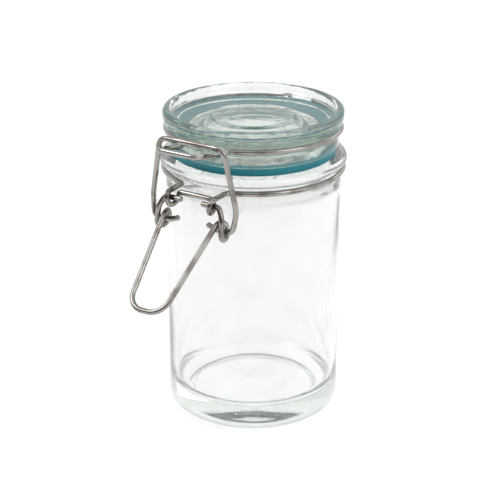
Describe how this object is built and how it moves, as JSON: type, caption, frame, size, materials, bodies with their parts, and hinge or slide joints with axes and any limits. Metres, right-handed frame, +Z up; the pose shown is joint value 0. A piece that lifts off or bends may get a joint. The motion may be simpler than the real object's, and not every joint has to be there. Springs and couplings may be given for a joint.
{
  "type": "clip-top glass jar",
  "caption": "Small round glass jar with a hinged glass lid and a silicone seal, closed by an over-centre wire latch.",
  "frame": {"origin": "middle of the ring that the jar stands on, on the jar's axis", "axes": "+Z up along the jar's axis; -Y towards the latch and its lever, +Y towards the lid's hinge; +X to the right seen from the latch side"},
  "size_m": [0.0554, 0.0905, 0.0946],
  "materials": {
    "body_glass": "clear blown glass, polished",
    "lid_glass": "clear pressed glass with fine mould ripple",
    "seal": "matt silicone",
    "wire": "bright drawn steel wire"
  },
  "bodies": {
    "jar": {"jar_body": "body_glass", "neck_wire": "wire"},
    "lid": {"lid_glass": "lid_glass", "gasket": "seal", "lid_wire": "wire"},
    "lever": {"lever_wire": "wire"},
    "bail": {"bail_wire": "wire"}
  },
  "joints": [
    {"name": "lid_hinge", "type": "hinge", "parent": "jar", "child": "lid", "pos_m": [0, 0.031, 0.0767], "axis": [-1, 0, 0], "range_deg": [0, 200]},
    {"name": "lever_pivot", "type": "hinge", "parent": "jar", "child": "lever", "pos_m": [0, -0.0322, 0.0747], "axis": [-1, 0, 0], "range_deg": [0, 100]},
    {"name": "bail_pivot", "type": "hinge", "parent": "lever", "child": "bail", "pos_m": [0, -0.0318, 0.06771], "axis": [-1, 0, 0], "range_deg": [-90, 0]}
  ],
  "couplings": [
    {"joint": "bail_pivot", "follows": "lever_pivot", "ratio": -0.9}
  ]
}
